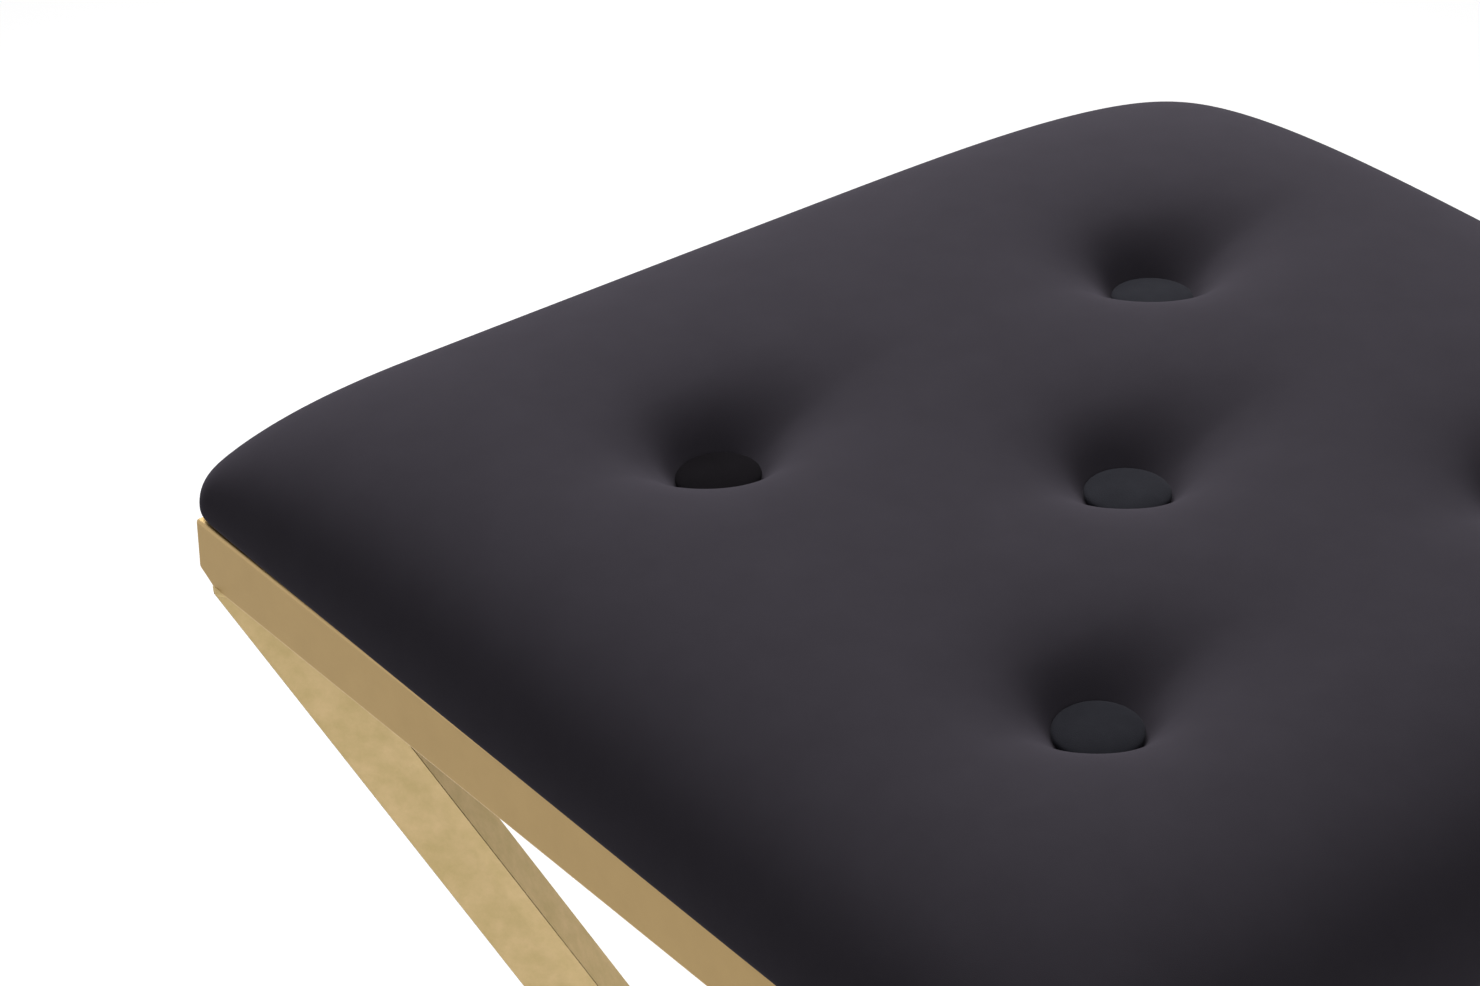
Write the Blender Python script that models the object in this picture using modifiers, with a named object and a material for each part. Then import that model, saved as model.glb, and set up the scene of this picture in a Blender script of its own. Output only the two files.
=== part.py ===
"""Bar stool: a button-tufted velvet seat on a gold tube frame with crossed legs.

The stool stands on the floor at z = 0, centred on the Z axis, with its front towards -Y.
All sizes are in metres.
"""
import math

import bmesh
import bpy
from mathutils import Matrix, Vector

# Seat frame
SEAT_SIDE = 0.370            # outer side of the square frame
FRAME_TOP = 0.755            # top of the frame above the floor
RAIL_HEIGHT = 0.020
RAIL_WIDTH = 0.015
TUBE_WALL = 0.0015
TUBE_CORNER = 0.0018         # outside corner radius of every tube
BORE_CORNER = 0.0005         # inside corner radius of every tube

# Legs
LEG_DEPTH = 0.020            # tube size in the plane of the leg
LEG_THICKNESS = 0.015        # tube size across that plane
LEG_LEAN = math.radians(32.8)
LEG_INSET = 0.0125           # from the frame's outer faces to the leg's axis, at the frame's underside
GLIDE_HEIGHT = 0.006         # plastic below the end of the tube
GLIDE_PLUG = 0.018           # plastic inside the tube

# Footrest
FOOTREST_HEIGHT = 0.150      # middle of the bars above the floor
FOOTREST_SIZE = 0.012        # side of the square tube
FOOTREST_WALL = 0.0012

# Corner plates and their screws
PLATE_SIDE = 0.050           # along each rail
PLATE_TIP = 0.012            # width left at each end of the plate
PLATE_THICKNESS = 0.003
SCREW_INSET = 0.020          # from the rails' inner faces to the screw
SCREW_DIAMETER = 0.006
SCREW_HEAD_DIAMETER = 0.0115
SCREW_HEAD_HEIGHT = 0.0034
SCREW_CROWN_DIAMETER = 0.0092  # flat end of the rounded head
SCREW_SOCKET_DIAMETER = 0.0046
SCREW_SOCKET_DEPTH = 0.0020
SCREW_GRIP = 0.0085          # length of screw inside the tee nut
TEE_BARREL_DIAMETER = 0.0082
TEE_FLANGE_DIAMETER = 0.018
TEE_FLANGE_THICKNESS = 0.0012

# Upholstered seat
BOARD_THICKNESS = 0.012
BOARD_INSET = 0.0045         # from the frame's outer faces to the board's edge
BOARD_CORNER = 0.025
COVER_THICKNESS = 0.0015
COVER_FOLD = 0.022           # velvet turned in under the board
PAD_OVERHANG = 0.005         # how far the middles of the sides swell past the frame
PAD_FOOT_INSET = 0.0008      # from the frame's outer faces to the pad's foot
PAD_CORNER_DRAW = 0.0052     # how far the corners are drawn in
PAD_CORNER_POWER = 4         # more keeps a longer straight run in each side
PAD_SIDE = 0.0045            # height of the widest line of the side
PAD_CROWN = 0.0475           # height of the top above the frame
PAD_SHOULDER = 0.125         # width over which the top rounds down to the side
PAD_ROUNDNESS = 3.0          # 2 is an elliptical shoulder, more is squarer
PAD_EDGE_LINES = (0.42, 0.76, 0.945, 1.0)  # facets from the outer tufts to the side
FOAM_GAP = 0.0006            # between foam and velvet

# Tufts
BUTTON_PITCH = 0.079         # from the centre to the outer buttons, along X and along Y
BUTTON_DIAMETER = 0.0255
BUTTON_BASE_DIAMETER = 0.0215  # flat underside
BUTTON_RIM = 0.0014          # height of the button's edge
BUTTON_DOME = 0.0036         # rise of its domed top
TUFT_LEVEL = 0.0225          # velvet under the outer buttons, above the frame
TUFT_CENTRE_LEVEL = 0.0257   # velvet under the middle button
TUFT_SPREAD = 0.0175         # distance over which a tuft rises to the top
TUFT_SHARPNESS = 1.5         # more gives a steeper funnel
TUFT_FLAT_MARGIN = 0.0005    # flat velvet round a button
TUFT_THROAT = 0.011          # width of the steep part of a tuft
TWINE_DIAMETER = 0.0020
KNOT_DIAMETER = 0.0060
KNOT_HEIGHT = 0.0015
WASHER_DIAMETER = 0.018
WASHER_THICKNESS = 0.0012
DUST_COVER_THICKNESS = 0.0008

# Fits and facets
CLEARANCE = 0.0003           # between pieces that touch
CORNER_STEPS = 3             # facets in a rounded tube corner
TURN_STEPS = 20              # facets round a turned piece
HOLE_STEPS = 10              # facets round a small hole

# Heights and places that follow
FRAME_UNDERSIDE = FRAME_TOP - RAIL_HEIGHT
HALF_SIDE = SEAT_SIDE / 2
LEG_TOP_REACH = (HALF_SIDE - LEG_INSET) * math.sqrt(2)
WAIST = FRAME_UNDERSIDE - LEG_TOP_REACH / math.tan(LEG_LEAN)
LEG_SPARE = 4 * LEG_DEPTH    # extra tube for the slanting cuts at a leg's ends
COVER_BOTTOM = FRAME_TOP + CLEARANCE
BOARD_BOTTOM = COVER_BOTTOM + COVER_THICKNESS + CLEARANCE
BOARD_TOP = BOARD_BOTTOM + BOARD_THICKNESS
FOAM_BOTTOM = BOARD_TOP + CLEARANCE
PAD_HALF = HALF_SIDE + PAD_OVERHANG
SCREW_PLACE = HALF_SIDE - RAIL_WIDTH - SCREW_INSET
WASHER_TOP = BOARD_BOTTOM - CLEARANCE
KNOT_TOP = WASHER_TOP - WASHER_THICKNESS - CLEARANCE
DUST_COVER_TOP = KNOT_TOP - KNOT_HEIGHT - CLEARANCE

SIDES = {"front": 0, "right": 90, "back": 180, "left": 270}
CORNERS = {"front_left": 0, "front_right": 90, "back_right": 180, "back_left": 270}
TOWARDS_FRONT_LEFT = math.radians(225)
TUFTS = {
    "front_left": (-BUTTON_PITCH, -BUTTON_PITCH, TUFT_LEVEL),
    "front_right": (BUTTON_PITCH, -BUTTON_PITCH, TUFT_LEVEL),
    "back_left": (-BUTTON_PITCH, BUTTON_PITCH, TUFT_LEVEL),
    "back_right": (BUTTON_PITCH, BUTTON_PITCH, TUFT_LEVEL),
    "centre": (0.0, 0.0, TUFT_CENTRE_LEVEL),
}
SCREWS = {
    "front_left": (-SCREW_PLACE, -SCREW_PLACE, 0.0),
    "front_right": (SCREW_PLACE, -SCREW_PLACE, 0.0),
    "back_left": (-SCREW_PLACE, SCREW_PLACE, 0.0),
    "back_right": (SCREW_PLACE, SCREW_PLACE, 0.0),
}

WELD = 1e-6

for item in list(bpy.data.objects):
    bpy.data.objects.remove(item, do_unlink=True)

STOOL = bpy.data.collections.new("bar_stool")
CUTTERS = bpy.data.collections.new("bar_stool_cutters")
for group in (STOOL, CUTTERS):
    bpy.context.scene.collection.children.link(group)
AXIS = bpy.data.objects.new("stool_axis", None)
STOOL.objects.link(AXIS)


# Materials and objects

def finish(name, colour, roughness, metallic=0.0):
    material = bpy.data.materials.new(name)
    material.use_nodes = True
    shader = material.node_tree.nodes["Principled BSDF"]
    shader.inputs["Base Color"].default_value = (*colour, 1.0)
    shader.inputs["Roughness"].default_value = roughness
    shader.inputs["Metallic"].default_value = metallic
    return material


GOLD = finish("satin_gold", (0.47, 0.33, 0.16), 0.42, 1.0)
VELVET = finish("charcoal_velvet", (0.030, 0.027, 0.033), 0.9)
FOAM = finish("seat_foam", (0.80, 0.74, 0.55), 0.95)
PLYWOOD = finish("plywood", (0.55, 0.38, 0.21), 0.7)
STEEL = finish("zinc_steel", (0.60, 0.60, 0.62), 0.35, 1.0)
PLASTIC = finish("black_plastic", (0.02, 0.02, 0.02), 0.5)
TWINE = finish("waxed_twine", (0.62, 0.56, 0.45), 0.8)
CAMBRIC = finish("black_cambric", (0.015, 0.015, 0.015), 0.95)


def place(name, mesh, material, turn=0.0, location=(0.0, 0.0, 0.0)):
    """Put a mesh into the stool as a named piece, turned about the stool's axis in degrees."""
    if not mesh.materials:
        mesh.materials.append(material)
    piece = bpy.data.objects.new(name, mesh)
    piece.location = location
    piece.rotation_euler.z = math.radians(turn)
    piece.parent = AXIS
    STOOL.objects.link(piece)
    return piece


def to_mesh(bm, name):
    """Finish a bmesh as a mesh with its faces pointing out."""
    bmesh.ops.recalc_face_normals(bm, faces=bm.faces)
    mesh = bpy.data.meshes.new(name)
    bm.to_mesh(mesh)
    bm.free()
    return mesh


def evaluated_bmesh(holder):
    """Read an object as its modifiers leave it, weld it, and remove the object."""
    bpy.context.scene.collection.objects.link(holder)
    mesh = bpy.data.meshes.new_from_object(holder.evaluated_get(bpy.context.evaluated_depsgraph_get()))
    bpy.data.objects.remove(holder, do_unlink=True)
    bm = bmesh.new()
    bm.from_mesh(mesh)
    bpy.data.meshes.remove(mesh)
    bmesh.ops.remove_doubles(bm, verts=bm.verts, dist=WELD)
    return bm


def cut_away(piece, cutter):
    """Subtract a cutter from a piece."""
    boolean = piece.modifiers.new("cut_" + cutter.name, "BOOLEAN")
    boolean.operation = "DIFFERENCE"
    boolean.solver = "EXACT"
    boolean.object = cutter


def make_cutter(name, mesh):
    cutter = bpy.data.objects.new(name, mesh)
    cutter.hide_render = True
    cutter.display_type = "WIRE"
    CUTTERS.objects.link(cutter)
    return cutter


# Outlines and basic forms

def rounded_rectangle(width, height, radius):
    """Corner points of a rectangle about the origin with its corners rounded."""
    points = []
    for quarter, (sx, sy) in enumerate(((1, 1), (-1, 1), (-1, -1), (1, -1))):
        centre = Vector((sx * (width / 2 - radius), sy * (height / 2 - radius)))
        for step in range(CORNER_STEPS + 1):
            angle = math.pi / 2 * (quarter + step / CORNER_STEPS)
            points.append(centre + radius * Vector((math.cos(angle), math.sin(angle))))
    return points


def circle(x, y, diameter):
    return [
        Vector((x, y)) + diameter / 2 * Vector((math.cos(angle), math.sin(angle)))
        for angle in (math.tau * step / HOLE_STEPS for step in range(HOLE_STEPS))
    ]


def extrusion(outlines, thickness):
    """A flat outline, with any holes in it, made thick about z = 0."""
    curve = bpy.data.curves.new("outline", "CURVE")
    curve.dimensions = "2D"
    curve.fill_mode = "BOTH"
    curve.extrude = thickness / 2
    for outline in outlines:
        spline = curve.splines.new("POLY")
        spline.points.add(len(outline) - 1)
        for point, (x, y) in zip(spline.points, outline):
            point.co = (x, y, 0.0, 1.0)
        spline.use_cyclic_u = True
    return evaluated_bmesh(bpy.data.objects.new("outline", curve))


def square_tube(width, height, wall, length):
    """A rectangular tube along Z, open at both ends."""
    outside = rounded_rectangle(width, height, TUBE_CORNER)
    inside = rounded_rectangle(width - 2 * wall, height - 2 * wall, BORE_CORNER)
    return extrusion([outside, inside], length)


def turned(profile, closed=False):
    """A shape turned about Z from points (radius, z) that run down its outer side."""
    mesh = bpy.data.meshes.new("profile")
    edges = [(index, index + 1) for index in range(len(profile) - 1)]
    if closed:
        edges.append((len(profile) - 1, 0))
    mesh.from_pydata([(radius, 0.0, z) for radius, z in profile], edges, [])
    holder = bpy.data.objects.new("profile", mesh)
    screw = holder.modifiers.new("turn", "SCREW")
    screw.steps = screw.render_steps = TURN_STEPS
    screw.use_merge_vertices = True
    screw.merge_threshold = WELD
    return evaluated_bmesh(holder)


def copies(bm, places):
    """Copies of a cutting shape at several places, as one mesh."""
    source = to_mesh(bm, "copy_source")
    bm = bmesh.new()
    for x, y, z in places:
        first = len(bm.verts)
        bm.from_mesh(source)
        bm.verts.ensure_lookup_table()
        bmesh.ops.translate(bm, vec=(x, y, z), verts=bm.verts[first:])
    bpy.data.meshes.remove(source)
    return to_mesh(bm, "copies")


def trim(bm, point, outward):
    """Cut a shape with a plane, drop the part on the outward side and close the cut."""
    everything = bm.verts[:] + bm.edges[:] + bm.faces[:]
    cut = bmesh.ops.bisect_plane(
        bm, geom=everything, dist=WELD, plane_co=point, plane_no=outward, clear_outer=True)
    rim = [item for item in cut["geom_cut"] if isinstance(item, bmesh.types.BMEdge)]
    bmesh.ops.triangle_fill(bm, use_beauty=True, edges=rim, normal=outward)


# Seat frame and footrest

def mitred_bar(width, height, wall, y, z, end_gap):
    """A tube along X on the front side, mitred at both ends on the seat's diagonals."""
    bm = square_tube(height, width, wall, SEAT_SIDE)
    bmesh.ops.rotate(bm, matrix=Matrix.Rotation(math.radians(90), 3, "Y"), verts=bm.verts)
    bmesh.ops.translate(bm, vec=(0.0, y, z), verts=bm.verts)
    for side in (-1, 1):
        outward = Vector((side, 1.0, 0.0)).normalized()
        trim(bm, outward * -end_gap, outward)
    return bm


rail = to_mesh(mitred_bar(
    RAIL_WIDTH, RAIL_HEIGHT, TUBE_WALL,
    y=RAIL_WIDTH / 2 - HALF_SIDE,
    z=FRAME_TOP - RAIL_HEIGHT / 2,
    end_gap=CLEARANCE / 2), "rail")

footrest_reach = (WAIST - FOOTREST_HEIGHT) * math.tan(LEG_LEAN) / math.sqrt(2)
footrest = to_mesh(mitred_bar(
    FOOTREST_SIZE, FOOTREST_SIZE, FOOTREST_WALL,
    y=-footrest_reach,
    z=FOOTREST_HEIGHT,
    end_gap=LEG_THICKNESS / 2 + CLEARANCE), "footrest")

for side, turn in SIDES.items():
    place("rail_" + side, rail, GOLD, turn)
    place("footrest_" + side, footrest, GOLD, turn)


# Corner plates, drawn in the front left corner

def plate_outline():
    corner = RAIL_WIDTH + CLEARANCE - HALF_SIDE
    steps = ((0, 0), (PLATE_SIDE, 0), (PLATE_SIDE, PLATE_TIP), (PLATE_TIP, PLATE_SIDE), (0, PLATE_SIDE))
    return [Vector((corner + dx, corner + dy)) for dx, dy in steps]


screw_hole = circle(-SCREW_PLACE, -SCREW_PLACE, SCREW_DIAMETER + 2 * CLEARANCE)
plate = extrusion([plate_outline(), screw_hole], PLATE_THICKNESS)
bmesh.ops.translate(plate, vec=(0.0, 0.0, FRAME_UNDERSIDE + PLATE_THICKNESS / 2), verts=plate.verts)
plate = to_mesh(plate, "corner_plate")
for corner, turn in CORNERS.items():
    place("corner_plate_" + corner, plate, GOLD, turn)


# Legs. Each is drawn in the XZ plane, leaning towards +X, and then turned to its corner.

def half_leg(low, high, upper):
    """Half a leg, from the waist to the frame or to its glide, mitred against the other seven."""
    way = 1 if upper else -1
    middle = (low + high) / 2
    reach = way * (middle - WAIST) * math.tan(LEG_LEAN)
    length = (high - low) / math.cos(LEG_LEAN) + LEG_SPARE
    bm = square_tube(LEG_DEPTH, LEG_THICKNESS, TUBE_WALL, length)
    bmesh.ops.rotate(bm, matrix=Matrix.Rotation(way * LEG_LEAN, 3, "Y"), verts=bm.verts)
    bmesh.ops.translate(bm, vec=(reach, 0.0, middle), verts=bm.verts)
    for side in (-1, 1):
        outward = Vector((-1.0, side, 0.0)).normalized()
        trim(bm, outward * (-CLEARANCE / 2), outward)
    trim(bm, Vector((0.0, 0.0, low)), Vector((0.0, 0.0, -1.0)))
    trim(bm, Vector((0.0, 0.0, high)), Vector((0.0, 0.0, 1.0)))
    bmesh.ops.rotate(bm, matrix=Matrix.Rotation(TOWARDS_FRONT_LEFT, 3, "Z"), verts=bm.verts)
    return to_mesh(bm, "leg_upper" if upper else "leg_lower")


leg_upper = half_leg(WAIST + CLEARANCE / 2, FRAME_UNDERSIDE - CLEARANCE, upper=True)
leg_lower = half_leg(GLIDE_HEIGHT, WAIST - CLEARANCE / 2, upper=False)
for corner, turn in CORNERS.items():
    place("leg_upper_" + corner, leg_upper, GOLD, turn)
    place("leg_lower_" + corner, leg_lower, GOLD, turn)


# Foot glides: the leg's outline at the floor, with a plug that follows the leaning bore

def foot_glide():
    top = GLIDE_HEIGHT - CLEARANCE
    stretch = 1 / math.cos(LEG_LEAN)
    bore_inset = 2 * (TUBE_WALL + CLEARANCE)
    foot = rounded_rectangle(LEG_DEPTH * stretch, LEG_THICKNESS, TUBE_CORNER)
    plug = rounded_rectangle((LEG_DEPTH - bore_inset) * stretch, LEG_THICKNESS - bore_inset, BORE_CORNER)
    rise = Vector((-math.tan(LEG_LEAN), 0.0, 1.0))
    bm = bmesh.new()
    sole = bm.faces.new([bm.verts.new((x, y, 0.0)) for x, y in foot])
    bmesh.ops.duplicate(bm, geom=[sole])
    face = sole
    for outline, height in ((foot, top), (plug, top), (plug, top + GLIDE_PLUG)):
        face = bmesh.ops.extrude_discrete_faces(bm, faces=[face])["faces"][0]
        for vert, (x, y) in zip(face.verts, outline):
            vert.co = Vector((x, y, 0.0)) + rise * height
    bmesh.ops.remove_doubles(bm, verts=bm.verts, dist=WELD)
    foot_reach = WAIST * math.tan(LEG_LEAN)
    bmesh.ops.translate(bm, vec=(foot_reach, 0.0, 0.0), verts=bm.verts)
    bmesh.ops.rotate(bm, matrix=Matrix.Rotation(TOWARDS_FRONT_LEFT, 3, "Z"), verts=bm.verts)
    return to_mesh(bm, "foot_glide")


glide = foot_glide()
for corner, turn in CORNERS.items():
    place("foot_glide_" + corner, glide, PLASTIC, turn)


# Seat board, with holes for the twines and stepped holes for the tee nuts

def tee_nut_profile(grow):
    """Outer profile of a tee nut from its flange down, enlarged by a clearance."""
    flange = TEE_FLANGE_DIAMETER / 2 + grow
    barrel = TEE_BARREL_DIAMETER / 2 + grow
    under_flange = BOARD_TOP - TEE_FLANGE_THICKNESS - grow
    return flange, barrel, under_flange


def tee_nut():
    flange, barrel, under_flange = tee_nut_profile(0.0)
    bore = SCREW_DIAMETER / 2 + CLEARANCE
    bottom = BOARD_TOP - TEE_FLANGE_THICKNESS - SCREW_GRIP
    return turned([
        (bore, BOARD_TOP), (flange, BOARD_TOP), (flange, under_flange),
        (barrel, under_flange), (barrel, bottom), (bore, bottom)], closed=True)


def tee_nut_hole():
    flange, barrel, under_flange = tee_nut_profile(CLEARANCE)
    above = BOARD_TOP + BOARD_THICKNESS
    below = BOARD_BOTTOM - BOARD_THICKNESS
    return turned([
        (0.0, above), (flange, above), (flange, under_flange),
        (barrel, under_flange), (barrel, below), (0.0, below)])


def tuft_hole():
    radius = TWINE_DIAMETER / 2 + CLEARANCE
    above = FRAME_TOP + PAD_CROWN
    below = FRAME_TOP - RAIL_HEIGHT
    bm = bmesh.new()
    bmesh.ops.create_cone(
        bm, cap_ends=True, segments=HOLE_STEPS, radius1=radius, radius2=radius, depth=above - below)
    bmesh.ops.translate(bm, vec=(0.0, 0.0, (above + below) / 2), verts=bm.verts)
    return bm


tuft_spots = [(x, y, 0.0) for x, y, level in TUFTS.values()]
tee_nut_holes = make_cutter("tee_nut_holes", copies(tee_nut_hole(), SCREWS.values()))
tuft_holes = make_cutter("tuft_holes", copies(tuft_hole(), tuft_spots))

board_side = SEAT_SIDE - 2 * BOARD_INSET
board = extrusion([rounded_rectangle(board_side, board_side, BOARD_CORNER)], BOARD_THICKNESS)
bmesh.ops.translate(board, vec=(0.0, 0.0, (BOARD_BOTTOM + BOARD_TOP) / 2), verts=board.verts)
seat_board = place("seat_board", to_mesh(board, "seat_board"), PLYWOOD)
cut_away(seat_board, tee_nut_holes)
cut_away(seat_board, tuft_holes)

tee_nut_mesh = to_mesh(tee_nut(), "tee_nut")
for corner, spot in SCREWS.items():
    place("tee_nut_" + corner, tee_nut_mesh, STEEL, location=spot)


# Seat screws: pan heads under the plates, shanks up into the tee nuts

def seat_screw():
    head = SCREW_HEAD_DIAMETER / 2
    shank = SCREW_DIAMETER / 2
    crown_edge = SCREW_CROWN_DIAMETER / 2
    socket = SCREW_SOCKET_DIAMETER / 2
    seat = FRAME_UNDERSIDE - CLEARANCE
    crown = seat - SCREW_HEAD_HEIGHT
    tip = BOARD_TOP - TEE_FLANGE_THICKNESS
    return turned([
        (0.0, tip), (shank, tip), (shank, seat), (head, seat), (head, seat - SCREW_HEAD_HEIGHT / 2),
        (crown_edge, crown), (socket, crown), (socket, crown + SCREW_SOCKET_DEPTH),
        (0.0, crown + SCREW_SOCKET_DEPTH)])


seat_screw_mesh = to_mesh(seat_screw(), "seat_screw")
for corner, spot in SCREWS.items():
    place("seat_screw_" + corner, seat_screw_mesh, STEEL, location=spot)


# Tufted pad: one surface gives both the velvet shell and the foam inside it

def pad_lines():
    """Grid lines across the pad: round each button and its tuft, closer towards the side."""
    flat = BUTTON_DIAMETER / 2 + TUFT_FLAT_MARGIN
    throat = flat + TUFT_THROAT
    lines = [flat, throat] + [BUTTON_PITCH + offset for offset in (-throat, -flat, flat, throat)]
    run = PAD_HALF - lines[-1]
    lines += [lines[-1] + run * share for share in PAD_EDGE_LINES]
    return [-line for line in reversed(lines)] + lines


def shoulder(offset):
    """Fall of the top towards the side: 1 on the flat, 0 at the edge."""
    share = max(0.0, (abs(offset) - (PAD_HALF - PAD_SHOULDER)) / PAD_SHOULDER)
    return max(0.0, 1.0 - share ** PAD_ROUNDNESS) ** (1.0 / PAD_ROUNDNESS)


def pad_height(x, y):
    """Height of the pad's top above the frame, with its tufts drawn down."""
    height = PAD_SIDE + (PAD_CROWN - PAD_SIDE) * shoulder(x) * shoulder(y)
    flat = (BUTTON_DIAMETER / 2 + TUFT_FLAT_MARGIN) * math.sqrt(2)
    for tuft_x, tuft_y, level in TUFTS.values():
        outside = max(0.0, math.hypot(x - tuft_x, y - tuft_y) - flat)
        hold = (1.0 + (outside / TUFT_SPREAD) ** 2) ** -TUFT_SHARPNESS
        height += (level - height) * hold
    return height


def draw_corners(x, y):
    """Pull the pad's corners in, leaving the middles of its sides."""
    pull = PAD_CORNER_DRAW * abs(x * y / PAD_HALF ** 2) ** PAD_CORNER_POWER
    return x - math.copysign(pull, x), y - math.copysign(pull, y)


def pad_surface(with_fold):
    """The pad's outer surface, open below."""
    lines = pad_lines()
    count = len(lines) - 1
    bm = bmesh.new()
    bmesh.ops.create_grid(bm, x_segments=count, y_segments=count, size=1.0)
    for vert in bm.verts:
        x = lines[round((vert.co.x + 1.0) / 2 * count)]
        y = lines[round((vert.co.y + 1.0) / 2 * count)]
        vert.co = (*draw_corners(x, y), FRAME_TOP + pad_height(x, y))

    def lower_rim(half):
        """Carry the open edge on to a square of that half side at the pad's foot."""
        rim = [edge for edge in bm.edges if edge.is_boundary]
        new = bmesh.ops.extrude_edge_only(bm, edges=rim)["geom"]
        for vert in new:
            if isinstance(vert, bmesh.types.BMVert):
                shrink = half / max(abs(vert.co.x), abs(vert.co.y))
                vert.co = (vert.co.x * shrink, vert.co.y * shrink, COVER_BOTTOM)

    lower_rim(HALF_SIDE - PAD_FOOT_INSET)
    if with_fold:
        lower_rim(HALF_SIDE - COVER_FOLD)
    bmesh.ops.triangulate(bm, faces=bm.faces)
    bmesh.ops.recalc_face_normals(bm, faces=bm.faces)
    return bm


def upward_mesh(bm, name):
    """Finish an open surface with its faces pointing up and out."""
    top = max(bm.faces, key=lambda face: face.calc_center_median().z)
    if top.normal.z < 0:
        bmesh.ops.reverse_faces(bm, faces=bm.faces)
    mesh = bpy.data.meshes.new(name)
    bm.to_mesh(mesh)
    bm.free()
    return mesh


cover = place("velvet_cover", upward_mesh(pad_surface(with_fold=True), "velvet_cover"), VELVET)
shell = cover.modifiers.new("cloth_thickness", "SOLIDIFY")
shell.thickness = COVER_THICKNESS
shell.offset = -1.0
cut_away(cover, tuft_holes)


def foam_block():
    holder = bpy.data.objects.new("foam_block", upward_mesh(pad_surface(with_fold=False), "foam_block"))
    shrink = holder.modifiers.new("inside_velvet", "DISPLACE")
    shrink.strength = -(COVER_THICKNESS + FOAM_GAP)
    shrink.mid_level = 0.0
    bm = evaluated_bmesh(holder)
    trim(bm, Vector((0.0, 0.0, FOAM_BOTTOM)), Vector((0.0, 0.0, -1.0)))
    return to_mesh(bm, "seat_foam")


seat_foam = place("seat_foam", foam_block(), FOAM)
cut_away(seat_foam, tuft_holes)


# Buttons, their twines, and the washers that the twines are tied to

def button():
    radius = BUTTON_DIAMETER / 2
    top = BUTTON_RIM + BUTTON_DOME
    arc = [math.radians(angle) for angle in (90, 70, 50, 30, 12, 0)]
    dome = [(radius * math.cos(angle), BUTTON_RIM + BUTTON_DOME * math.sin(angle)) for angle in arc]
    dome[0] = (0.0, top)
    return turned(dome + [(BUTTON_BASE_DIAMETER / 2, 0.0), (0.0, 0.0)])


def twine(length):
    """A twine from z = 0, under its button, down to the knot below its washer."""
    cord = TWINE_DIAMETER / 2
    knot = KNOT_DIAMETER / 2
    return turned([
        (0.0, 0.0), (cord, 0.0), (cord, -length), (knot, -length),
        (knot, -length - KNOT_HEIGHT), (0.0, -length - KNOT_HEIGHT)])


def washer():
    hole = TWINE_DIAMETER / 2 + CLEARANCE
    rim = WASHER_DIAMETER / 2
    bottom = WASHER_TOP - WASHER_THICKNESS
    return turned([(hole, WASHER_TOP), (rim, WASHER_TOP), (rim, bottom), (hole, bottom)], closed=True)


button_mesh = to_mesh(button(), "covered_button")
washer_mesh = to_mesh(washer(), "twine_washer")
for name, (x, y, level) in TUFTS.items():
    velvet = FRAME_TOP + level
    place("button_" + name, button_mesh, VELVET, location=(x, y, velvet + CLEARANCE))
    twine_mesh = to_mesh(twine(velvet - KNOT_TOP), "tuft_twine")
    place("tuft_twine_" + name, twine_mesh, TWINE, location=(x, y, velvet))
    place("twine_washer_" + name, washer_mesh, PLASTIC, location=(x, y, 0.0))


# Dust cover: cloth across the frame's opening, with holes for the screws

opening = SEAT_SIDE - 2 * RAIL_WIDTH - 2 * CLEARANCE
screw_gaps = [circle(x, y, SCREW_DIAMETER + 2 * CLEARANCE) for x, y, z in SCREWS.values()]
dust_cover = extrusion([rounded_rectangle(opening, opening, TUBE_CORNER), *screw_gaps], DUST_COVER_THICKNESS)
bmesh.ops.translate(
    dust_cover, vec=(0.0, 0.0, DUST_COVER_TOP - DUST_COVER_THICKNESS / 2), verts=dust_cover.verts)
place("dust_cover", to_mesh(dust_cover, "dust_cover"), CAMBRIC)
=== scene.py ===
import math

import bmesh
import bpy
from mathutils import Matrix, Vector, noise


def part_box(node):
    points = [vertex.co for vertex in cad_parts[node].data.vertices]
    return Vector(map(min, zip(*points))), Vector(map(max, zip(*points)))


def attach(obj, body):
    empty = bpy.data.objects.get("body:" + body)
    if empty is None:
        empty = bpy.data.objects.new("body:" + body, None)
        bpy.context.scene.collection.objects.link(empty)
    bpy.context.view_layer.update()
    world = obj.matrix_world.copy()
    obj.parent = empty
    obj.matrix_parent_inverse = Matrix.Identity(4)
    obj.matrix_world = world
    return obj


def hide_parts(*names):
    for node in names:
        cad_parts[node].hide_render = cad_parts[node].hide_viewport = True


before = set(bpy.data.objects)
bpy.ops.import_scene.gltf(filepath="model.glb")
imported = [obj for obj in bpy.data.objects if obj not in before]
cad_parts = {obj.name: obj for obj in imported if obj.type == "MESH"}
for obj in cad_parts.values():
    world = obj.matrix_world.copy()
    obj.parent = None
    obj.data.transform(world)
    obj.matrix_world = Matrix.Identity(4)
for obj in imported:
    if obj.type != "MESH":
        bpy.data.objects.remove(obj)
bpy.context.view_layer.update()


# Seat frame: four lengths of rectangular steel tube, mitred and welded into a square, ground
# flush at the corners and plated in a satin gold. The upholstered seat is screwed down on it.

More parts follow.
